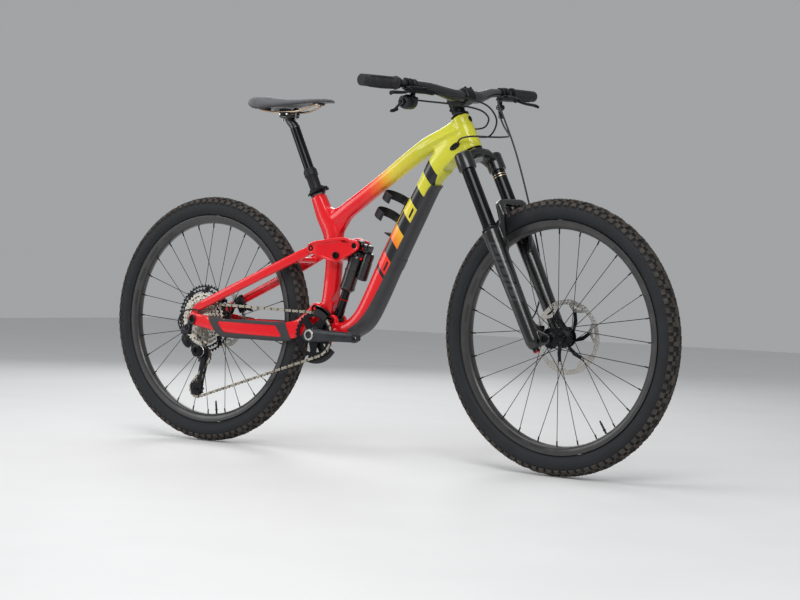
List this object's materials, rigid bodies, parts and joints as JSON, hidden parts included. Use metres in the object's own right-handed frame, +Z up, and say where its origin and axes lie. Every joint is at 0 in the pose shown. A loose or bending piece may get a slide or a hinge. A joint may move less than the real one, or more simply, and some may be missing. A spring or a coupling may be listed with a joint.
{
  "type": "mountain bike",
  "caption": "Full-suspension trail mountain bike with disc brakes, dropper post, single-ring drivetrain and a telescopic fork.",
  "frame": {"origin": "on the ground, midway between the outer edges of the two tyres, in the frame's middle plane", "axes": "+X forward, +Y to the rider's left, +Z up; the drivetrain is on the right side, at -Y"},
  "size_m": [1.9716, 0.7928, 1.0831],
  "materials": {
    "frame_paint": "glossy clear-coated paint over carbon fibre, coral red fading through orange to lime yellow",
    "guard": "satin moulded plastic",
    "black_metal": "satin black anodised",
    "grey_metal": "dark grey anodised",
    "black_gloss": "gloss black",
    "steel": "brushed",
    "pivot_steel": "black oxide",
    "carbon": "satin carbon fibre",
    "tyre": "matt rubber",
    "rubber": "matt ribbed rubber",
    "chain": "bright plated",
    "saddle_cover": "matt synthetic leather",
    "rail": "bronze-coloured satin",
    "hose": "satin black",
    "pulley": "matt"
  },
  "bodies": {
    "frame": {"main_frame": "frame_paint", "down_tube_guard": "guard", "bottle_cage": "guard", "seat_collar": "black_metal", "dropper_outer_tube": "black_gloss", "bottom_bracket": "black_metal", "chain_guide": "guard", "chain": "chain"},
    "seatpost": {"dropper_stanchion": "black_gloss", "saddle_rails": "rail", "saddle": "saddle_cover"},
    "crank": {"crank_arm_right": "grey_metal", "crank_arm_left": "grey_metal", "chainring": "black_metal"},
    "swingarm": {"chainstay": "frame_paint", "rear_axle": "pivot_steel", "derailleur_base": "grey_metal"},
    "seatstay": {"seatstay": "frame_paint", "rear_brake_caliper": "black_metal"},
    "rocker": {"rocker_link": "frame_paint"},
    "shock_shaft": {"shock_shaft": "grey_metal"},
    "shock_body": {"shock_body": "black_gloss"},
    "rear_wheel": {"rear_tyre": "tyre", "rear_rim": "carbon", "rear_hub": "black_metal", "rear_spokes": "black_metal", "rear_rotor": "steel"},
    "cassette": {"cassette": "steel"},
    "outer_link": {"derailleur_outer_link": "grey_metal"},
    "inner_link": {"derailleur_inner_link": "grey_metal"},
    "derailleur_knuckle": {"derailleur_p_knuckle": "black_metal"},
    "derailleur_cage": {"derailleur_cage": "grey_metal"},
    "guide_pulley": {"guide_pulley": "pulley"},
    "tension_pulley": {"tension_pulley": "pulley"},
    "steerer": {"fork_upper": "black_gloss", "stem": "black_metal", "stem_faceplate": "black_metal", "handlebar": "carbon", "grip_right": "rubber", "grip_left": "rubber", "brake_body_right": "black_metal", "brake_body_left": "black_metal", "shifter_body": "grey_metal", "dropper_remote": "black_metal", "front_brake_hose": "hose", "rear_brake_hose": "hose", "shift_housing": "hose", "dropper_housing": "hose"},
    "fork_lowers": {"fork_lowers": "black_gloss", "front_axle": "pivot_steel", "front_brake_caliper": "black_metal"},
    "front_wheel": {"front_tyre": "tyre", "front_rim": "carbon", "front_hub": "black_metal", "front_spokes": "black_metal", "front_rotor": "steel"},
    "brake_lever_right": {"brake_lever_right": "black_metal"},
    "brake_lever_left": {"brake_lever_left": "black_metal"},
    "shifter_lever": {"shifter_lever": "grey_metal"},
    "dropper_lever": {"dropper_lever": "black_metal"}
  },
  "joints": [
    {"name": "dropper_slide", "type": "slide", "parent": "frame", "child": "seatpost", "axis": [-0.4296, 0, 0.903], "range_m": [-0.15, 0]},
    {"name": "crank_spin", "type": "hinge", "parent": "frame", "child": "crank", "pos_m": [-0.1755, 0, 0.345], "axis": [0, 1, 0], "continuous": true},
    {"name": "swing_pivot", "type": "hinge", "parent": "frame", "child": "swingarm", "pos_m": [-0.1815, 0, 0.422], "axis": [0, 1, 0], "range_deg": [0, 21.3], "stiffness_Nm_per_rad": 1900, "springref_deg": -1.15, "deforming": ["chain"]},
    {"name": "seatstay_pivot", "type": "hinge", "parent": "swingarm", "child": "seatstay", "pos_m": [-0.6125, 0, 0.374], "axis": [0, 1, 0], "range_deg": [-8.8, 0]},
    {"name": "rocker_pivot", "type": "hinge", "parent": "frame", "child": "rocker", "pos_m": [-0.1115, 0, 0.578], "axis": [0, 1, 0], "range_deg": [0, 56.2]},
    {"name": "shock_eye", "type": "hinge", "parent": "frame", "child": "shock_shaft", "pos_m": [-0.1315, 0, 0.389], "axis": [0, 1, 0], "range_deg": [0, 7.8]},
    {"name": "shock_slide", "type": "slide", "parent": "shock_shaft", "child": "shock_body", "axis": [0.3253, 0, 0.9456], "range_m": [-0.0525, 0]},
    {"name": "rear_wheel_spin", "type": "hinge", "parent": "swingarm", "child": "rear_wheel", "pos_m": [-0.6125, 0, 0.374], "axis": [0, 1, 0], "continuous": true},
    {"name": "cassette_spin", "type": "hinge", "parent": "swingarm", "child": "cassette", "pos_m": [-0.6125, 0, 0.374], "axis": [0, 1, 0], "continuous": true},
    {"name": "derailleur_shift", "type": "hinge", "parent": "swingarm", "child": "outer_link", "pos_m": [-0.6365, -0.098, 0.318], "axis": [0.6823, 0, 0.7311], "range_deg": [-17, 9]},
    {"name": "derailleur_inner_pivot", "type": "hinge", "parent": "swingarm", "child": "inner_link", "pos_m": [-0.6365, -0.085, 0.318], "axis": [0.6823, 0, 0.7311], "range_deg": [-17, 9]},
    {"name": "derailleur_knuckle_pivot", "type": "hinge", "parent": "outer_link", "child": "derailleur_knuckle", "pos_m": [-0.6065, -0.098, 0.29], "axis": [0.6823, 0, 0.7311], "range_deg": [-9, 17]},
    {"name": "cage_pivot", "type": "hinge", "parent": "derailleur_knuckle", "child": "derailleur_cage", "pos_m": [-0.5935, -0.064, 0.276], "axis": [0, 1, 0], "range_deg": [-35, 25], "stiffness_Nm_per_rad": 1.2, "deforming": ["chain"]},
    {"name": "guide_pulley_spin", "type": "hinge", "parent": "derailleur_cage", "child": "guide_pulley", "pos_m": [-0.5935, -0.053, 0.262], "axis": [0, 1, 0], "continuous": true},
    {"name": "tension_pulley_spin", "type": "hinge", "parent": "derailleur_cage", "child": "tension_pulley", "pos_m": [-0.6155, -0.053, 0.162], "axis": [0, 1, 0], "continuous": true},
    {"name": "steering", "type": "hinge", "parent": "frame", "child": "steerer", "pos_m": [0.57292, 0, 0.35478], "axis": [-0.4368, 0, 0.8996], "range_deg": [-50, 60], "deforming": ["rear_brake_hose", "shift_housing", "dropper_housing"]},
    {"name": "fork_slide", "type": "slide", "parent": "steerer", "child": "fork_lowers", "axis": [-0.4368, 0, 0.8996], "range_m": [0, 0.165], "stiffness_N_per_m": 6000, "springref_m": -0.02, "deforming": ["front_brake_hose"]},
    {"name": "front_wheel_spin", "type": "hinge", "parent": "fork_lowers", "child": "front_wheel", "pos_m": [0.61236, -0.00368, 0.37393], "axis": [0.0753, 0.9965, 0.0366], "continuous": true},
    {"name": "brake_lever_right_pull", "type": "hinge", "parent": "steerer", "child": "brake_lever_right", "pos_m": [0.26487, -0.25217, 1.02447], "axis": [-0.5579, 0.0725, -0.8267], "range_deg": [0, 14], "stiffness_Nm_per_rad": 0.6},
    {"name": "brake_lever_left_pull", "type": "hinge", "parent": "steerer", "child": "brake_lever_left", "pos_m": [0.30251, 0.24607, 1.04275], "axis": [0.5579, -0.0725, 0.8267], "range_deg": [0, 14], "stiffness_Nm_per_rad": 0.6},
    {"name": "shifter_lever_push", "type": "hinge", "parent": "steerer", "child": "shifter_lever", "pos_m": [0.24406, -0.24946, 0.99327], "axis": [0.0753, 0.9965, 0.0366], "range_deg": [0, 25], "stiffness_Nm_per_rad": 0.3},
    {"name": "dropper_lever_push", "type": "hinge", "parent": "steerer", "child": "dropper_lever", "pos_m": [0.27721, 0.21175, 1.01826], "axis": [0.0753, 0.9965, 0.0366], "range_deg": [0, 25], "stiffness_Nm_per_rad": 0.3}
  ],
  "couplings": [
    {"joint": "seatstay_pivot", "follows": "swing_pivot", "ratio": -0.411},
    {"joint": "rocker_pivot", "follows": "swing_pivot", "ratio": 2.635},
    {"joint": "shock_eye", "follows": "swing_pivot", "ratio": 0.3615},
    {"joint": "shock_slide", "follows": "swing_pivot", "m_per_rad": -0.1406},
    {"joint": "cassette_spin", "follows": "crank_spin", "ratio": 1.3333},
    {"joint": "guide_pulley_spin", "follows": "crank_spin", "ratio": -2.4615},
    {"joint": "tension_pulley_spin", "follows": "crank_spin", "ratio": 2.4615},
    {"joint": "derailleur_inner_pivot", "follows": "derailleur_shift", "ratio": 1},
    {"joint": "derailleur_knuckle_pivot", "follows": "derailleur_shift", "ratio": -1}
  ]
}
